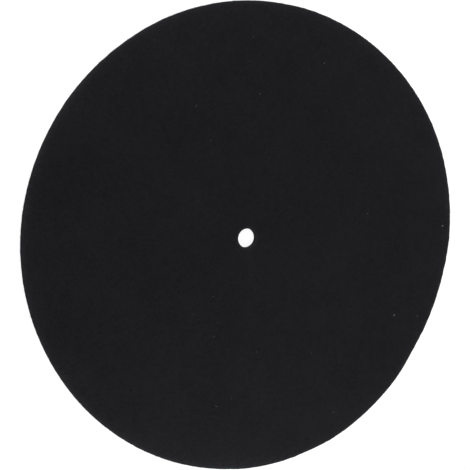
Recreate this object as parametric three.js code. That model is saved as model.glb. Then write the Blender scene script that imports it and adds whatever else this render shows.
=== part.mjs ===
// Turntable platter mat: a single disc die-cut from black felt sheet, with a round hole for the
// platter's spindle. It lies flat on the platter and carries the record on its upper face.
// Millimetres, +Z up. The origin is the centre of the underside, on the spindle's axis.

import * as THREE from "three";

// Driving dimensions
const MAT_DIAMETER = 295;
const SPINDLE_HOLE_DIAMETER = 12;
const FELT_THICKNESS = 3;
// The die presses the felt down before it cuts, so the edges where it enters spring back rounded.
const ENTRY_EDGE_RADIUS = 0.3;
// The edges where it leaves, around the underside, stay nearly square.
const EXIT_EDGE_RADIUS = 0.15;

// Fineness of the facets: the steps of the turn around the axis, and half the steps of each round
const TURN_STEPS = 180;
const HALF_ROUND_STEPS = 2;

const FELT_BLACK = 0x1c1c1e;
const FELT_ROUGHNESS = 1;

const RIGHT_ANGLE = Math.PI / 2;

// The felt's cross-section on one side of the spindle's axis: x is the distance from the axis and
// y the height above the platter. It runs once around, anticlockwise, from the foot of the hole.
function feltSection() {
  const hole = SPINDLE_HOLE_DIAMETER / 2;
  const rim = MAT_DIAMETER / 2;
  const top = FELT_THICKNESS;
  // Both rounds share the wall's height, so neither may be larger than what the other leaves.
  const exit = Math.min(EXIT_EDGE_RADIUS, FELT_THICKNESS / 2);
  const entry = Math.min(ENTRY_EDGE_RADIUS, FELT_THICKNESS - exit);

  const section = new THREE.Path();
  section.moveTo(hole + exit, 0);
  section.lineTo(rim - exit, 0);
  section.absarc(rim - exit, exit, exit, -RIGHT_ANGLE, 0, false);
  section.lineTo(rim, top - entry);
  section.absarc(rim - entry, top - entry, entry, 0, RIGHT_ANGLE, false);
  section.lineTo(hole + entry, top);
  section.absarc(hole + entry, top - entry, entry, RIGHT_ANGLE, 2 * RIGHT_ANGLE, false);
  section.lineTo(hole, exit);
  section.absarc(hole + exit, exit, exit, 2 * RIGHT_ANGLE, 3 * RIGHT_ANGLE, false);
  return section;
}

// The section turned once around the spindle's axis. A lathe turns about Y, so the solid is then
// stood up to turn about Z.
function feltGeometry() {
  // A path puts twice the steps it is asked for along each of its arcs.
  const outline = feltSection().getPoints(HALF_ROUND_STEPS);
  const geometry = new THREE.LatheGeometry(outline, TURN_STEPS);
  geometry.rotateX(RIGHT_ANGLE);
  return geometry;
}

function feltMaterial() {
  return new THREE.MeshStandardMaterial({
    color: FELT_BLACK,
    roughness: FELT_ROUGHNESS,
    metalness: 0,
  });
}

const feltDisc = new THREE.Mesh(feltGeometry(), feltMaterial());
feltDisc.name = "felt_disc";

const platterMat = new THREE.Group();
platterMat.add(feltDisc);

export default platterMat;
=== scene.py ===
"""The looks of a turntable's felt platter mat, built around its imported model.

The mat is one thick disc of needled felt. Its body is a closed mesh with the felt's uneven
surface and soft cut edges. Loose fibres lie on its faces and stand out of its edges, and a few
pale bits of lint have settled on it where the photograph shows them. Everything is in metres.
"""

import math

import bpy
import numpy as np
from mathutils import Matrix, Vector


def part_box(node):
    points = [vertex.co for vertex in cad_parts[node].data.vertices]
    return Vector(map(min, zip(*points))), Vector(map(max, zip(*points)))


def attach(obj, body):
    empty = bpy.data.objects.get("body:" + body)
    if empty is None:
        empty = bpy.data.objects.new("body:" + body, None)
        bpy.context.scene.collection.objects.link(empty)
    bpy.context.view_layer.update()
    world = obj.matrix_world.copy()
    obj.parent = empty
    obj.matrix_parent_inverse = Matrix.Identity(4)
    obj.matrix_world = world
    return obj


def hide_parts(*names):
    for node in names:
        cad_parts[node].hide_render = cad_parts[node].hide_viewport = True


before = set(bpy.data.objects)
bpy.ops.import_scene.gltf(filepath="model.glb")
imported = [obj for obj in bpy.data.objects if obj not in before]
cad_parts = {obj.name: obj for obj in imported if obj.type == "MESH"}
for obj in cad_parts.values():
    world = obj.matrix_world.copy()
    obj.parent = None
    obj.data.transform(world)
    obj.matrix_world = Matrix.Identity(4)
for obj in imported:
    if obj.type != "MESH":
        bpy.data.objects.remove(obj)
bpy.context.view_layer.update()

MM = 0.001
FULL_TURN = 2 * math.pi
NODE = "felt_disc"
BODY = "root"

# Sizes from the frame
LOW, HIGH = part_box(NODE)
RADIUS = (HIGH.x - LOW.x) / 2
THICKNESS = HIGH.z - LOW.z
HOLE_RADIUS = min(math.hypot(v.co.x, v.co.y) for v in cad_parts[NODE].data.vertices)
TOP_MIDDLE = Vector((0, 0, THICKNESS))

# The rounds of the cut edges, where the die went in and where it came out
ENTRY_ROUND = 0.3 * MM
EXIT_ROUND = 0.15 * MM

# The photograph, in pixels whose middles are whole numbers
PHOTO_SIDE = 470
PHOTO_MIDDLE = (PHOTO_SIDE - 1) / 2
MAT_MIDDLE_PX = (246.5, 237.7)
MAT_RADIUS_PX = 235.8
# Its camera: the tilt from straight above, how far clockwise from +X the mat's far side lies, and
# the distance from the middle of the upper face. +X runs about to the picture's right.
CAMERA_TILT = math.radians(26.67)
FAR_SIDE_TURN = math.radians(17.24)
CAMERA_DISTANCE = 8.3 * RADIUS
SENSOR_IN_MM = 36.0


def camera_axes():
    """The camera's right, up and back directions if it looked at the mat's middle."""
    far = Vector((math.cos(FAR_SIDE_TURN), -math.sin(FAR_SIDE_TURN), 0))
    upright = Vector((0, 0, 1))
    back = math.cos(CAMERA_TILT) * upright - math.sin(CAMERA_TILT) * far
    rise = math.sin(CAMERA_TILT) * upright + math.cos(CAMERA_TILT) * far
    side = rise.cross(back)
    right = math.cos(FAR_SIDE_TURN) * rise - math.sin(FAR_SIDE_TURN) * side
    return right, back.cross(right), back


CAMERA_RIGHT, CAMERA_UP, CAMERA_BACK = camera_axes()
EYE = TOP_MIDDLE + CAMERA_DISTANCE * CAMERA_BACK
FOCAL_PX = MAT_RADIUS_PX * CAMERA_DISTANCE / RADIUS


def add_camera():
    """The camera is turned so that the mat's middle lies beside the picture's, as photographed."""
    metres_per_px = RADIUS / MAT_RADIUS_PX
    beside = (PHOTO_MIDDLE - MAT_MIDDLE_PX[0]) * metres_per_px
    above = (MAT_MIDDLE_PX[1] - PHOTO_MIDDLE) * metres_per_px
    aim = TOP_MIDDLE + beside * CAMERA_RIGHT + above * CAMERA_UP
    back = (EYE - aim).normalized()
    right = CAMERA_UP.cross(back).normalized()
    up = back.cross(right)
    data = bpy.data.cameras.new("camera")
    data.sensor_width = SENSOR_IN_MM
    data.lens = SENSOR_IN_MM * FOCAL_PX / PHOTO_SIDE
    camera = bpy.data.objects.new("camera", data)
    camera.matrix_world = Matrix.Translation(EYE) @ Matrix((right, up, back)).transposed().to_4x4()
    bpy.context.scene.collection.objects.link(camera)
    bpy.context.scene.camera = camera


def place_in_photo(x_px, y_px):
    """The point of the mat's upper face that a pixel of the photograph shows."""
    ray = (
        (x_px - MAT_MIDDLE_PX[0]) * CAMERA_RIGHT
        - (y_px - MAT_MIDDLE_PX[1]) * CAMERA_UP
        - FOCAL_PX * CAMERA_BACK
    )
    return EYE + ray * ((THICKNESS - EYE.z) / ray.z)


add_camera()


# Surface of the felt

class Waves:
    """A smooth random field over the plane, made of many faint waves in all directions."""

    def __init__(self, seed, shortest, longest, spread, count=48):
        random = np.random.default_rng(seed)
        lengths = shortest * (longest / shortest) ** random.random(count)
        headings = FULL_TURN * random.random(count)
        self.across = FULL_TURN / lengths * np.cos(headings)
        self.along = FULL_TURN / lengths * np.sin(headings)
        self.starts = FULL_TURN * random.random(count)
        self.height = spread * math.sqrt(2 / count)

    def at(self, x, y):
        total = np.zeros(np.shape(x))
        for across, along, start in zip(self.across, self.along, self.starts):
            total += np.sin(across * x + along * y + start)
        return self.height * total


# Unevenness of the felt: a seed, its shortest and longest waves, and its typical height
FACE_LUMPS = Waves(11, 3.2 * MM, 14 * MM, 0.045 * MM)
FOOT_LUMPS = Waves(12, 5 * MM, 20 * MM, 0.02 * MM)
EDGE_LUMPS = Waves(13, 2.6 * MM, 9 * MM, 0.05 * MM)
LIE = Waves(14, 90 * MM, 260 * MM, 0.09 * MM)
# The underside stands this far off the floor, on its fibres
FOOT_CLEARANCE = 0.06 * MM

# How the cut rim strays from a true circle: the number of waves around it, their height, and the
# direction in which one of them crests
RIM_WAVES = [
    (1, 0.36 * MM, math.radians(81)),
    (2, 0.12 * MM, math.radians(88)),
    (3, 0.76 * MM, math.radians(41)),
    (4, 0.36 * MM, math.radians(17)),
    (5, 0.20 * MM, math.radians(17)),
    (6, 0.11 * MM, math.radians(2)),
]
# Bumps and dents on top of these waves: the direction of each, its height, and how far it reaches
# to each side, in degrees
RIM_BUMPS = [
    (-88, 0.20 * MM, 4),
    (-71, -0.36 * MM, 5),
    (-42, 0.40 * MM, 5),
    (-31, -0.40 * MM, 5),
    (-3, 0.26 * MM, 5),
    (14, -0.28 * MM, 6),
    (82, -0.18 * MM, 6),
    (124, -0.16 * MM, 5),
    (145, 0.14 * MM, 5),
]
# How far the cut felt spreads outwards, all around
RIM_SPREAD = 0.21 * MM
# The strays fade out inwards from the rim to this share of the radius.
STRAY_REACH = 0.5


def smooth_step(t):
    t = np.clip(t, 0, 1)
    return t * t * (3 - 2 * t)


def rim_stray(direction):
    """How far the cut rim lies outside the true circle, in each direction."""
    stray = np.full(np.shape(direction), RIM_SPREAD)
    for waves, height, crest in RIM_WAVES:
        stray += height * np.cos(waves * (direction - crest))
    for degrees, height, reach in RIM_BUMPS:
        off = np.remainder(np.degrees(direction) - degrees + 180, 360) - 180
        stray += height * np.exp(-(off / reach) ** 2)
    return stray


def strayed(x, y):
    """Points of a true disc, moved to where they lie in the mat as it was cut."""
    radius = np.hypot(x, y)
    stray = rim_stray(np.arctan2(y, x)) + EDGE_LUMPS.at(x, y)
    share = smooth_step((radius / RADIUS - STRAY_REACH) / (1 - STRAY_REACH))
    scale = 1 + stray * share / np.maximum(radius, HOLE_RADIUS)
    return x * scale, y * scale


def foot_height(x, y):
    """The underside's height above the floor: the mat lies on its lowest lumps."""
    lie = np.maximum(LIE.at(x, y), 0) * smooth_step(np.hypot(x, y) / RADIUS)
    return FOOT_CLEARANCE + lie + np.abs(FOOT_LUMPS.at(x, y))


def face_height(x, y):
    """The upper face's height above the floor."""
    return THICKNESS + FACE_LUMPS.at(x, y) + foot_height(x, y) - FOOT_CLEARANCE


def lifted(x, y, level):
    """The height of a point at a level of the true disc, from 0 at the foot to THICKNESS."""
    share = level / THICKNESS
    return (1 - share) * foot_height(x, y) + share * face_height(x, y)


# Body of the felt

ROUND_STEPS = 4
WALL_STEPS = 4
FACE_STEP = 1.3 * MM
FOOT_STEP = 2.4 * MM
# Points around a ring. The hole's number is doubled from a first radius on, and again each time
# that the radius doubles, up to the most that a face has.
HOLE_POINTS = 90
FIRST_DOUBLED = 3 * HOLE_RADIUS
MOST_FACE_POINTS = 720
MOST_FOOT_POINTS = 360

# Map through which colours are baked: the middle and radius of each round island, and what is left
# free in the middle of the upper one, in the body's own lengths
BAKE_MAP = "OFBake"
MAP_FACE = (0.376, 0.370)
MAP_FOOT = (0.786, 0.208)
MAP_INNER = 3 * MM
# Marks that the meshes carry for their materials: a fibre's shade, and the distance from the
# spindle's axis before the cut strayed, which places the painted glow near the cuts
SHADE = "shade"
REACH = "reach"


def stepped(start, end, step):
    """Even steps from start to end, without the end."""
    count = max(1, round(abs(end - start) / step))
    return np.linspace(start, end, count, endpoint=False)


def arc(middle, radius, start, end):
    """Points of a quarter round in the section, from one angle to another, without the last."""
    angles = np.radians(np.linspace(start, end, ROUND_STEPS, endpoint=False))
    return [(middle[0] + radius * math.cos(a), middle[1] + radius * math.sin(a)) for a in angles]


def ring_points(radius, most):
    """How many points a ring has."""
    doublings = max(0, math.floor(math.log2(radius / FIRST_DOUBLED) + 1))
    return min(HOLE_POINTS * 2 ** doublings, most)


def body_section():
    """The rings of the body as (radius, level, points), once around the section."""
    foot_edge = RADIUS - EXIT_ROUND
    face_edge = RADIUS - ENTRY_ROUND
    face_level = THICKNESS - ENTRY_ROUND
    wall = (face_level - EXIT_ROUND) / WALL_STEPS
    foot = [(r, 0) for r in stepped(HOLE_RADIUS + EXIT_ROUND, foot_edge, FOOT_STEP)]
    rim = arc((foot_edge, EXIT_ROUND), EXIT_ROUND, -90, 0)
    rim += [(RADIUS, z) for z in stepped(EXIT_ROUND, face_level, wall)]
    rim += arc((face_edge, face_level), ENTRY_ROUND, 0, 90)
    face = [(r, THICKNESS) for r in stepped(face_edge, HOLE_RADIUS + ENTRY_ROUND, FACE_STEP)]
    hole = arc((HOLE_RADIUS + ENTRY_ROUND, face_level), ENTRY_ROUND, 90, 180)
    hole += [(HOLE_RADIUS, z) for z in stepped(face_level, EXIT_ROUND, wall)]
    hole += arc((HOLE_RADIUS + EXIT_ROUND, EXIT_ROUND), EXIT_ROUND, 180, 270)
    rings = [(r, z, ring_points(r, MOST_FOOT_POINTS)) for r, z in foot]
    rings += [(r, z, ring_points(r, MOST_FACE_POINTS)) for r, z in rim + face + hole]
    return rings, len(foot)


def joined_rings(first, first_count, second, second_count):
    """Faces between two rings, given by their first vertices and their numbers of points. One
    ring may have twice the points of the other."""
    faces = []
    if first_count == second_count:
        for i in range(first_count):
            j = (i + 1) % first_count
            faces.append((first + i, first + j, second + j, second + i))
    elif first_count < second_count:
        for i in range(first_count):
            j = (i + 1) % first_count
            a, b, c = second + 2 * i, second + 2 * i + 1, second + (2 * i + 2) % second_count
            faces.append((first + i, b, a))
            faces.append((first + i, first + j, b))
            faces.append((first + j, c, b))
    else:
        for i in range(second_count):
            j = (i + 1) % second_count
            a, b, c = first + 2 * i, first + 2 * i + 1, first + (2 * i + 2) % first_count
            faces.append((a, b, second + i))
            faces.append((b, second + j, second + i))
            faces.append((b, c, second + j))
    return faces


def mesh_object(name, vertices, faces, smooth=True):
    mesh = bpy.data.meshes.new(name)
    mesh.from_pydata(vertices, [], faces)
    mesh.polygons.foreach_set("use_smooth", [smooth] * len(mesh.polygons))
    mesh.update()
    piece = bpy.data.objects.new(name, mesh)
    bpy.context.scene.collection.objects.link(piece)
    return piece


def set_map(piece, places):
    """Gives each corner of each face its place on the map that colours are baked through."""
    layer = piece.data.uv_layers.new(name=BAKE_MAP)
    layer.uv.foreach_set("vector", np.ravel(places))


def mark(piece, name, values):
    """Gives each point of a piece a number that its material reads."""
    layer = piece.data.attributes.new(name, "FLOAT", "POINT")
    layer.data.foreach_set("value", np.ravel(values))


def map_radii(rings, foot_rings):
    """How far each ring lies from the middle of its island of the map. The upper island holds the
    upper face with both cut walls laid flat around it, and the lower one holds the underside."""
    foot = np.array([radius for radius, _, _ in rings[:foot_rings + 1]])
    walk = np.array([(radius, level) for radius, level, _ in rings[foot_rings:] + rings[:1]])
    steps = np.hypot(*np.diff(walk, axis=0).T)
    face = MAP_INNER + np.append(np.cumsum(steps[::-1])[::-1], 0)
    return MAP_FACE[1] * face / face[0], MAP_FOOT[1] * foot / foot[-1]


def felt_body():
    """The mat's body, closed: its rings, each joined to the next once around the section."""
    rings, foot_rings = body_section()
    face_radii, foot_radii = map_radii(rings, foot_rings)
    vertices, firsts, faces, places = [], [], [], []
    for radius, level, count in rings:
        angles = FULL_TURN * np.arange(count) / count
        x, y = strayed(radius * np.cos(angles), radius * np.sin(angles))
        firsts.append(sum(len(v) for v in vertices))
        vertices.append(np.stack([x, y, lifted(x, y, level)], 1))
    for k, (_, _, count) in enumerate(rings):
        after = (k + 1) % len(rings)
        first, first_after, count_after = firsts[k], firsts[after], rings[after][2]
        band = joined_rings(first, count, first_after, count_after)
        corners = np.array([corner for face in band for corner in face])
        here = (corners >= first) & (corners < first + count)
        turns = np.where(here, (corners - first) / count, (corners - first_after) / count_after)
        if k < foot_rings:
            middle, radii = MAP_FOOT[0], foot_radii[k:k + 2]
        else:
            middle, radii = MAP_FACE[0], face_radii[k - foot_rings:k - foot_rings + 2]
        out = np.where(here, *radii)
        directions = FULL_TURN * turns
        places.append(middle + np.stack([out * np.cos(directions), out * np.sin(directions)], 1))
        faces += band
    body = mesh_object("felt_body", np.concatenate(vertices).tolist(), faces)
    set_map(body, np.concatenate(places))
    reaches, _, counts = zip(*rings)
    mark(body, REACH, np.repeat(reaches, counts))
    return body


# Fibres

FIBRE_SIDES = 3
LINT_SIDES = 8
# How thick a tube's ends are, as a share of its width
TAPER_END = 0.35
# A length below which a direction counts as none
NO_LENGTH = 1e-9
# How much a line wobbles at each point, as a share of how much it curls
WOBBLE = 0.5
# Where a fibre lies in its own square of the map: its long faces, then its two round ends
MAP_SIDES = (0.08, 0.72)
MAP_ENDS = ((0.86, 0.26), (0.86, 0.56))
MAP_END_RADIUS = 0.07


def tube_places(count, points, sides):
    """The places on the map of every face of so many tubes, each in its own square, in the order
    in which tubes makes them."""
    across = math.ceil(math.sqrt(count))
    squares = np.stack([np.arange(count) % across, np.arange(count) // across], 1)[:, None, None]
    wide = np.linspace(*MAP_SIDES, sides + 1)
    tall = np.linspace(*MAP_SIDES, points)
    walls = []
    for k in range(points - 1):
        for s in range(sides):
            low, high, left, right = tall[k], tall[k + 1], wide[s], wide[s + 1]
            walls.append([(left, low), (left, high), (right, high), (right, low)])
    around = FULL_TURN * np.arange(sides) / sides
    end = MAP_END_RADIUS * np.stack([np.cos(around), np.sin(around)], 1)
    ends = [end + middle for middle in MAP_ENDS]
    walls = (squares + np.array(walls)[None]) / across
    ends = (squares + np.array(ends)[None]) / across
    return np.concatenate([walls.reshape(-1, 2), ends.reshape(-1, 2)])


def tubes(name, paths, widths, shades, sides=FIBRE_SIDES):
    """Closed tubes along the paths, an array of (fibres, points, 3), each as thick as its width,
    tapered to its ends and marked with its shade from 0 to 1."""
    count, points, _ = paths.shape
    ahead = np.gradient(paths, axis=1)
    ahead /= np.linalg.norm(ahead, axis=2, keepdims=True)
    upright = np.array([0.0, 0.0, 1.0])
    side = np.cross(ahead, upright)
    side /= np.maximum(np.linalg.norm(side, axis=2, keepdims=True), NO_LENGTH)
    rise = np.cross(side, ahead)
    taper = TAPER_END + (1 - TAPER_END) * np.sin(np.pi * np.linspace(0, 1, points)) ** 0.5
    radii = widths[:, None, None] / 2 * taper[None, :, None]
    corners = [
        paths + radii * (math.cos(a) * side + math.sin(a) * rise)
        for a in FULL_TURN * np.arange(sides) / sides
    ]
    vertices = np.stack(corners, 2).reshape(-1, 3)
    first = (np.arange(count) * points * sides)[:, None, None]
    walls = []
    for k in range(points - 1):
        here, there = k * sides, (k + 1) * sides
        for s in range(sides):
            t = (s + 1) % sides
            walls.append([here + s, there + s, there + t, here + t])
    start = np.arange(sides)
    ends = [start, (points - 1) * sides + start[::-1]]
    walls = (first + np.array(walls)[None]).reshape(-1, 4)
    ends = (first + np.array(ends)[None]).reshape(-1, sides)
    piece = mesh_object(name, vertices.tolist(), walls.tolist() + ends.tolist())
    set_map(piece, tube_places(count, points, sides))
    mark(piece, SHADE, np.repeat(shades, points * sides))
    return piece


def wandering(random, x, y, lengths, points, curl):
    """Curved lines over the plane from the places x, y, as two arrays of (lines, points)."""
    count = len(x)
    heading = FULL_TURN * random.random((count, 1))
    bend = curl * random.standard_normal((count, 1))
    wobble = WOBBLE * curl * random.standard_normal((count, points))
    turns = heading + bend * np.linspace(0, 1, points) + np.cumsum(wobble, 1) / math.sqrt(points)
    step = lengths[:, None] / (points - 1)
    along_x = x[:, None] + np.cumsum(step * np.cos(turns), 1)
    along_y = y[:, None] + np.cumsum(step * np.sin(turns), 1)
    return along_x, along_y


def scattered(random, count, inner, outer):
    """Even random places between two circles."""
    radius = np.sqrt(inner ** 2 + (outer ** 2 - inner ** 2) * random.random(count))
    angle = FULL_TURN * random.random(count)
    return radius * np.cos(angle), radius * np.sin(angle)


def between(random, limits, count):
    """Even random numbers between two limits."""
    return limits[0] + (limits[1] - limits[0]) * random.random(count)


# Kinds of loose fibre on the faces: the points along each, its limits of length and of width, how
# far it rises from the felt at most, how deep its ends go back in, and how much it curls
LONG_NAP = {
    "points": 7,
    "lengths": (3 * MM, 9 * MM),
    "widths": (0.030 * MM, 0.065 * MM),
    "rise": 0.16 * MM,
    "sunk": 0.05 * MM,
    "curl": 1.3,
}
SHORT_NAP = {
    "points": 5,
    "lengths": (1.2 * MM, 4 * MM),
    "widths": (0.025 * MM, 0.055 * MM),
    "rise": 0.12 * MM,
    "sunk": 0.04 * MM,
    "curl": 1.6,
}


def nap(name, seed, count, kind, height, upwards):
    """Loose fibres on a face whose height over the floor is a function of the place. They come
    out of the felt, run along it and go back in. upwards is 1 on the upper face, -1 below."""
    points = kind["points"]
    random = np.random.default_rng(seed)
    x, y = scattered(random, count, HOLE_RADIUS, RADIUS)
    lengths = between(random, kind["lengths"], count)
    x, y = wandering(random, x, y, lengths, points, kind["curl"])
    radius = np.hypot(x, y)
    inside = (radius.min(1) > HOLE_RADIUS + ENTRY_ROUND) & (radius.max(1) < RADIUS - ENTRY_ROUND)
    radius = radius[inside]
    x, y = strayed(x[inside], y[inside])
    arch = np.sin(np.pi * np.linspace(0, 1, points))
    lift = kind["rise"] * random.random((len(x), 1)) ** 2
    widths = between(random, kind["widths"], len(x))
    z = height(x, y) + upwards * (lift * arch - kind["sunk"] * (1 - arch))
    z = np.maximum(z, widths[:, None] / 2)
    piece = tubes(name, np.stack([x, y, z], 2), widths, random.random(len(x)))
    mark(piece, REACH, np.repeat(radius, FIBRE_SIDES))
    return piece


# Fibres that stand out of the cuts: the points along each, its limits of length and of width, and
# how deep its root lies in the wall. Most of them are near the shorter length.
FUZZ_POINTS = 5
FUZZ_LENGTHS = (0.3 * MM, 1.5 * MM)
FUZZ_WIDTHS = (0.022 * MM, 0.040 * MM)
FUZZ_ROOT = 0.12 * MM
# How much they lean at their roots, and turn at each point after it, along x, y and z
FUZZ_LEAN = (0.9, 0.9, 0.5)
FUZZ_CURL = (0.55, 0.55, 0.4)


def fuzz(name, seed, count, radius, outwards):
    """Short fibres that stand out of a cut wall. outwards is 1 on the rim, -1 in the hole."""
    random = np.random.default_rng(seed)
    angle = FULL_TURN * random.random(count)
    level = between(random, (EXIT_ROUND, THICKNESS), count)
    x, y = strayed(radius * np.cos(angle), radius * np.sin(angle))
    out = np.stack([np.cos(angle), np.sin(angle), np.zeros(count)], 1) * outwards
    turns = random.standard_normal((count, FUZZ_POINTS - 1, 3)) * FUZZ_CURL
    turns[:, 0] = random.standard_normal((count, 3)) * FUZZ_LEAN
    ways = out[:, None] + np.cumsum(turns, 1)
    ways /= np.linalg.norm(ways, axis=2, keepdims=True)
    shortest, longest = FUZZ_LENGTHS
    length = shortest + (longest - shortest) * random.random((count, 1, 1)) ** 2
    root = np.stack([x, y, lifted(x, y, level)], 1) - FUZZ_ROOT * out
    steps = np.concatenate([root[:, None], length / (FUZZ_POINTS - 1) * ways], 1)
    paths = np.cumsum(steps, 1)
    paths[..., 2] = np.maximum(paths[..., 2], FUZZ_WIDTHS[1])
    widths = between(random, FUZZ_WIDTHS, count)
    piece = tubes(name, paths, widths, random.random(count))
    # Fibres of the cuts count as lying at the cut, where the painted glow is strongest.
    mark(piece, REACH, np.full(len(piece.data.vertices), radius))
    return piece


# Lint

# Pixels of the photograph where a pale bit lies on the felt, with its length and width
LINT_PLACES = [
    (393.5, 314.5, 1.5 * MM, 0.135 * MM),
    (441.6, 225.3, 1.5 * MM, 0.120 * MM),
    (416.4, 315.5, 1.1 * MM, 0.080 * MM),
    (323.5, 62.3, 1.4 * MM, 0.065 * MM),
    (367.0, 213.0, 1.3 * MM, 0.085 * MM),
    (259.0, 94.0, 1.8 * MM, 0.040 * MM),
    (196.0, 105.0, 2.2 * MM, 0.023 * MM),
    (215.5, 405.5, 2.6 * MM, 0.028 * MM),
    (231.0, 397.0, 2.5 * MM, 0.020 * MM),
    (213.0, 336.0, 1.8 * MM, 0.026 * MM),
    (210.0, 140.0, 1.5 * MM, 0.048 * MM),
    (213.0, 296.0, 1.3 * MM, 0.046 * MM),
    (256.0, 351.0, 1.1 * MM, 0.030 * MM),
    (311.0, 352.0, 1.1 * MM, 0.021 * MM),
]
# Finer bits, anywhere between two circles
DUST_COUNT = 40
DUST_CIRCLES = (2 * HOLE_RADIUS, 0.97 * RADIUS)
DUST_LENGTHS = (0.5 * MM, 1.3 * MM)
DUST_WIDTHS = (0.012 * MM, 0.024 * MM)
LINT_SEED = 41
LINT_POINTS = 8
LINT_CURL = 2.0
# How far the middle of a bit rises at most, and how far above the felt even its ends lie, on the
# finest lumps
LINT_LIFT = 0.15 * MM
LINT_CLEARANCE = 0.05 * MM


def lint():
    """Pale bits of thread, curled up on the upper face."""
    random = np.random.default_rng(LINT_SEED)
    places = np.array([place_in_photo(x, y) for x, y, _, _ in LINT_PLACES])
    _, _, lengths, widths = zip(*LINT_PLACES)
    dust_x, dust_y = scattered(random, DUST_COUNT, *DUST_CIRCLES)
    middle_x = np.concatenate([places[:, 0], dust_x])
    middle_y = np.concatenate([places[:, 1], dust_y])
    lengths = np.concatenate([lengths, between(random, DUST_LENGTHS, DUST_COUNT)])
    widths = np.concatenate([widths, between(random, DUST_WIDTHS, DUST_COUNT)])
    x, y = wandering(random, middle_x, middle_y, lengths, LINT_POINTS, LINT_CURL)
    x += (middle_x - x.mean(1))[:, None]
    y += (middle_y - y.mean(1))[:, None]
    arch = np.sin(np.pi * np.linspace(0, 1, LINT_POINTS))
    lift = LINT_LIFT * arch * random.random((len(x), 1)) + widths[:, None] / 2 + LINT_CLEARANCE
    paths = np.stack([x, y, face_height(x, y) + lift], 2)
    shades = random.random(len(x))
    shades[:len(LINT_PLACES)] = 1
    return tubes("lint", paths, widths, shades, LINT_SIDES)


# Materials

FELT_DARK = (0.0030, 0.0030, 0.0036, 1)
FELT_PALE = (0.0150, 0.0150, 0.0172, 1)
FIBRE_DARK = (0.008, 0.008, 0.009, 1)
FIBRE_PALE = (0.030, 0.030, 0.034, 1)
LINT_PALE = (0.62, 0.61, 0.58, 1)
LINT_GREY = (0.30, 0.30, 0.30, 1)


def add_node(tree, kind, inputs=None, **settings):
    """A node with its settings, and its inputs by name or number as values or as links."""
    node = tree.nodes.new(kind)
    for key, value in settings.items():
        setattr(node, key, value)
    for key, value in (inputs or {}).items():
        if isinstance(value, bpy.types.NodeSocket):
            tree.links.new(value, node.inputs[key])
        else:
            node.inputs[key].default_value = value
    return node


def maths(tree, operation, *values, clamp=False):
    """The result of a sum on numbers and sockets."""
    return add_node(
        tree, "ShaderNodeMath", dict(enumerate(values)), operation=operation, use_clamp=clamp
    ).outputs[0]


# The value that a noise has on average
NOISE_MIDDLE = 0.5


def noise(tree, place, size, detail=1.0, roughness=0.5, distortion=0.0):
    """A noise whose lumps are about so many metres across."""
    return add_node(
        tree,
        "ShaderNodeTexNoise",
        {
            "Vector": place,
            "Scale": 1 / size,
            "Detail": detail,
            "Roughness": roughness,
            "Distortion": distortion,
        },
    ).outputs["Fac"]


# Strands that show in the surface: the way they run in degrees, their length and their spacing
STRANDS = [
    (15, 5.0 * MM, 0.9 * MM),
    (72, 4.0 * MM, 0.7 * MM),
    (128, 4.5 * MM, 0.8 * MM),
]
# How far from its middle value the noise still makes a strand, and how much the strands bend
STRAND_WIDTH = 0.10
STRAND_BEND = 0.6


def strands(tree, place, degrees, length, spacing):
    """Thin curved strands that run mostly one way: the lines where a stretched noise crosses its
    middle value. 1 on a strand, 0 off it."""
    turned = add_node(
        tree,
        "ShaderNodeMapping",
        {
            "Vector": place,
            "Rotation": (0, 0, math.radians(degrees)),
            "Scale": (length, spacing, spacing),
        },
        vector_type="TEXTURE",
    ).outputs[0]
    field = noise(tree, turned, 1.0, distortion=STRAND_BEND)
    off = maths(tree, "ABSOLUTE", maths(tree, "SUBTRACT", field, NOISE_MIDDLE))
    return maths(tree, "SUBTRACT", 1.0, maths(tree, "DIVIDE", off, STRAND_WIDTH), clamp=True)


# Cloth hardly shines, and is a little paler where it is seen aslant.
CLOTH_FINISH = {
    "Roughness": 1.0,
    "Specular IOR Level": 0.04,
    "Sheen Weight": 0.01,
    "Sheen Roughness": 0.6,
}


def cloth_material(name):
    """A new material with cloth's finish, its node tree and its shader."""
    material = bpy.data.materials.new(name)
    material.use_nodes = True
    tree = material.node_tree
    shader = tree.nodes["Principled BSDF"]
    for key, value in CLOTH_FINISH.items():
        shader.inputs[key].default_value = value
    return material, tree, shader


def blended(tree, amount, dark, pale):
    """A colour between two, dark at 0 and pale at 1."""
    ramp = add_node(tree, "ShaderNodeMix", data_type="RGBA")
    tree.links.new(amount, ramp.inputs["Factor"])
    ramp.inputs["A"].default_value = dark
    ramp.inputs["B"].default_value = pale
    return ramp.outputs["Result"]


# Painted light: the colour is brightened near the cuts, a painted glow that stands in for the
# glare of the white surround over the edges, by this share at most.
MOST_PAINTED_GLOW = 0.7
# Near the rim that share is a length over the distance from a circle just outside the rim, less a
# constant, so that it ends some way in.
RIM_GLOW = 0.94 * MM
RIM_GLOW_START = 0.2 * MM
RIM_GLOW_END = 0.04
# Near the hole it is so much at the wall, before it is limited, and dies away over a short reach.
HOLE_GLOW = 1.6
HOLE_GLOW_REACH = 0.8 * MM


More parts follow.
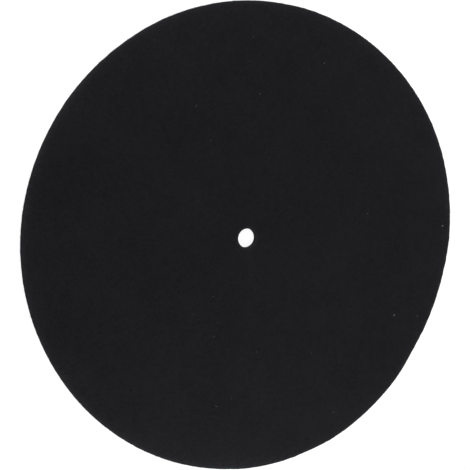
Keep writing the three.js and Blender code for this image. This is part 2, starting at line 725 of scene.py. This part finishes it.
def painted_glow_at_cuts(tree, colour):
    """The colour, brightened near the rim and the hole: painted glow standing in for the glare of
    the white surround over the cuts.
    """
    reach = add_node(tree, "ShaderNodeAttribute", attribute_name=REACH).outputs["Fac"]
    from_rim = maths(tree, "SUBTRACT", RADIUS + RIM_GLOW_START, reach)
    at_rim = maths(tree, "SUBTRACT", maths(tree, "DIVIDE", RIM_GLOW, from_rim), RIM_GLOW_END)
    to_hole = maths(tree, "SUBTRACT", HOLE_RADIUS, reach)
    fading = maths(tree, "EXPONENT", maths(tree, "DIVIDE", to_hole, HOLE_GLOW_REACH))
    at_hole = maths(tree, "MULTIPLY", fading, HOLE_GLOW)
    # Painted glow, strongest at the cuts and limited to its largest share
    glow_factor = maths(tree, "MINIMUM", maths(tree, "MAXIMUM", at_rim, at_hole), MOST_PAINTED_GLOW)
    glow_factor = maths(tree, "ADD", glow_factor, 1.0)
    return add_node(
        tree, "ShaderNodeVectorMath", {0: colour, "Scale": glow_factor}, operation="SCALE"
    ).outputs[0]


# The felt's shade from 0, dark, to 1, pale: its middle, how much the strands add to it, and its
# unevenness, as the size of the lumps and how far they move the shade
SHADE_MIDDLE = 0.45
STRAND_SHADE = 0.20
SHADES = [
    (0.5 * MM, 0.26),
    (1.6 * MM, 0.68),
    (4.0 * MM, 0.26),
    (14 * MM, 0.16),
    (45 * MM, 0.26),
]
# The felt's relief: the grain's size, detail and roughness, the strands' share, and the whole
# relief's height and strength
GRAIN = 0.45 * MM
GRAIN_DETAIL = 3.0
GRAIN_ROUGHNESS = 0.65
STRAND_RELIEF = 0.5
RELIEF = 0.12 * MM
RELIEF_STRENGTH = 0.7


def felt_material():
    """The felt of the body: strands and grain, in an uneven shade, with painted glow near the
    cuts.
    """
    material, tree, shader = cloth_material("felt")
    place = add_node(tree, "ShaderNodeTexCoord").outputs["Object"]
    tangle = 0.0
    for degrees, length, spacing in STRANDS:
        layer = strands(tree, place, degrees, length, spacing)
        tangle = maths(tree, "MAXIMUM", tangle, layer)
    shade = maths(tree, "MULTIPLY", tangle, STRAND_SHADE)
    for size, share in SHADES:
        off = maths(tree, "SUBTRACT", noise(tree, place, size), NOISE_MIDDLE)
        shade = maths(tree, "ADD", shade, maths(tree, "MULTIPLY", off, share))
    shade = maths(tree, "ADD", shade, SHADE_MIDDLE, clamp=True)
    # Painted light: near the cuts the felt's colour is brightened for the surround's glare.
    colour = painted_glow_at_cuts(tree, blended(tree, shade, FELT_DARK, FELT_PALE))
    tree.links.new(colour, shader.inputs["Base Color"])
    grain = noise(tree, place, GRAIN, detail=GRAIN_DETAIL, roughness=GRAIN_ROUGHNESS)
    relief = maths(tree, "ADD", maths(tree, "MULTIPLY", tangle, STRAND_RELIEF), grain)
    bump = add_node(
        tree,
        "ShaderNodeBump",
        {"Height": relief, "Distance": RELIEF, "Strength": RELIEF_STRENGTH},
    )
    tree.links.new(bump.outputs[0], shader.inputs["Normal"])
    return material


def thread_colour(tree, dark, pale):
    """The colour of threads, each of the shade that its mesh is marked with."""
    shade = add_node(tree, "ShaderNodeAttribute", attribute_name=SHADE).outputs["Fac"]
    return blended(tree, shade, dark, pale)


def fibre_material():
    """The loose fibres, which are paler than the felt, and brightened at the cuts by painted glow.
    """
    material, tree, shader = cloth_material("fibre")
    # Painted light: near the cuts the fibres' colour is brightened for the surround's glare.
    colour = painted_glow_at_cuts(tree, thread_colour(tree, FIBRE_DARK, FIBRE_PALE))
    tree.links.new(colour, shader.inputs["Base Color"])
    return material


def lint_material():
    """The bits of lint: the marked ones pale, the dust from grey to pale."""
    material, tree, shader = cloth_material("lint")
    tree.links.new(thread_colour(tree, LINT_GREY, LINT_PALE), shader.inputs["Base Color"])
    return material


# Stage

FLOOR_SIDE = 12.0
FLOOR_COLOUR = (0.8, 0.8, 0.8, 1)
# How bright the white is that the camera sees mixed into the floor, what share of the floor it is
# around the mat, and the distances over which it grows to the whole floor
FLOOR_WHITE = 1.25
FLOOR_WHITE_SHARE = 0.7
FLOOR_WHITE_FROM = 0.30
FLOOR_WHITE_TO = 0.60
# The surround's strength as a light, and as it is seen
WORLD_LIGHT = 0.28
WORLD_WHITE = 1.0


def direct_rays(tree):
    """1 where the camera sees the surface, by itself or in a reflection or a glass."""
    rays = add_node(tree, "ShaderNodeLightPath").outputs
    direct = maths(tree, "MAXIMUM", rays["Is Camera Ray"], rays["Is Glossy Ray"])
    return maths(tree, "MAXIMUM", direct, rays["Is Transmission Ray"])


def floor_material():
    """A matte floor, which the camera sees as nearly plain white."""
    material = bpy.data.materials.new("floor")
    material.use_nodes = True
    tree = material.node_tree
    tree.nodes.remove(tree.nodes["Principled BSDF"])
    place = add_node(tree, "ShaderNodeTexCoord").outputs["Object"]
    away = add_node(tree, "ShaderNodeVectorMath", {0: place}, operation="LENGTH").outputs["Value"]
    share = add_node(
        tree,
        "ShaderNodeMapRange",
        {
            "Value": away,
            "From Min": FLOOR_WHITE_FROM,
            "From Max": FLOOR_WHITE_TO,
            "To Min": FLOOR_WHITE_SHARE,
        },
        interpolation_type="SMOOTHSTEP",
    ).outputs[0]
    seen = maths(tree, "MULTIPLY", direct_rays(tree), share)
    matte = add_node(tree, "ShaderNodeBsdfDiffuse", {"Color": FLOOR_COLOUR})
    white = add_node(tree, "ShaderNodeEmission", {"Strength": FLOOR_WHITE})
    mixed = add_node(
        tree, "ShaderNodeMixShader", {0: seen, 1: matte.outputs[0], 2: white.outputs[0]}
    )
    tree.links.new(mixed.outputs[0], tree.nodes["Material Output"].inputs["Surface"])
    return material


def add_floor():
    half = FLOOR_SIDE / 2
    corners = [(-half, -half, 0), (half, -half, 0), (half, half, 0), (-half, half, 0)]
    floor = mesh_object("floor", corners, [(0, 1, 2, 3)], smooth=False)
    floor.data.materials.append(floor_material())
    return floor


def set_world():
    """An even white surround, plain white where it is seen."""
    world = bpy.data.worlds.new("surround")
    world.use_nodes = True
    tree = world.node_tree
    strength = add_node(
        tree,
        "ShaderNodeMapRange",
        {"Value": direct_rays(tree), "To Min": WORLD_LIGHT, "To Max": WORLD_WHITE},
    ).outputs[0]
    surround = tree.nodes["Background"]
    surround.inputs["Color"].default_value = (1, 1, 1, 1)
    tree.links.new(strength, surround.inputs["Strength"])
    bpy.context.scene.world = world


# Soft lamps around the mat: where each shines from, in degrees anticlockwise from +X and above the
# mat, its distance from the mat's middle, and its level there
LAMPS = [
    ("front_lamp", -95, 24, 0.40, 0.36),
    ("far_lamp", 24, 20, 0.45, 0.19),
    ("back_lamp", 108, 20, 0.45, 0.16),
    ("near_lamp", 162, 14, 0.45, 0.045),
]
LAMP_SIDE = 0.25


def add_lamp(name, compass, height, distance, level):
    """A square lamp that faces the mat's middle. Its power is such that at level 1 it would light
    the mat there as much as a white surround of strength 1 does."""
    around, above = math.radians(compass), math.radians(height)
    way = Vector(
        (
            math.cos(around) * math.cos(above),
            math.sin(around) * math.cos(above),
            math.sin(above),
        )
    )
    data = bpy.data.lights.new(name, "AREA")
    data.size = LAMP_SIDE
    data.energy = math.pi ** 2 * level * distance ** 2 / way.z
    lamp = bpy.data.objects.new(name, data)
    lamp.location = TOP_MIDDLE + distance * way
    lamp.rotation_mode = "QUATERNION"
    lamp.rotation_quaternion = way.to_track_quat("Z", "Y")
    lamp.visible_camera = False
    bpy.context.scene.collection.objects.link(lamp)


# The mat

def finished(piece, material):
    """The piece, with its material, riding on the mat."""
    piece.data.materials.append(material)
    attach(piece, BODY)
    return piece


floor = add_floor()
set_world()
for lamp in LAMPS:
    add_lamp(*lamp)

fibre = fibre_material()
body = finished(felt_body(), felt_material())
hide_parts(NODE)
loose = [
    nap("long_nap", seed=21, count=5300, kind=LONG_NAP, height=face_height, upwards=1),
    nap("short_nap_1", seed=22, count=7700, kind=SHORT_NAP, height=face_height, upwards=1),
    nap("short_nap_2", seed=23, count=7700, kind=SHORT_NAP, height=face_height, upwards=1),
    nap("foot_nap", seed=24, count=2600, kind=SHORT_NAP, height=foot_height, upwards=-1),
    fuzz("rim_fuzz", seed=31, count=5000, radius=RADIUS, outwards=1),
    fuzz("hole_fuzz", seed=32, count=200, radius=HOLE_RADIUS, outwards=-1),
]
for piece in loose:
    finished(piece, fibre)
bits = finished(lint(), lint_material())

bpy.context.scene.view_settings.view_transform = "Standard"
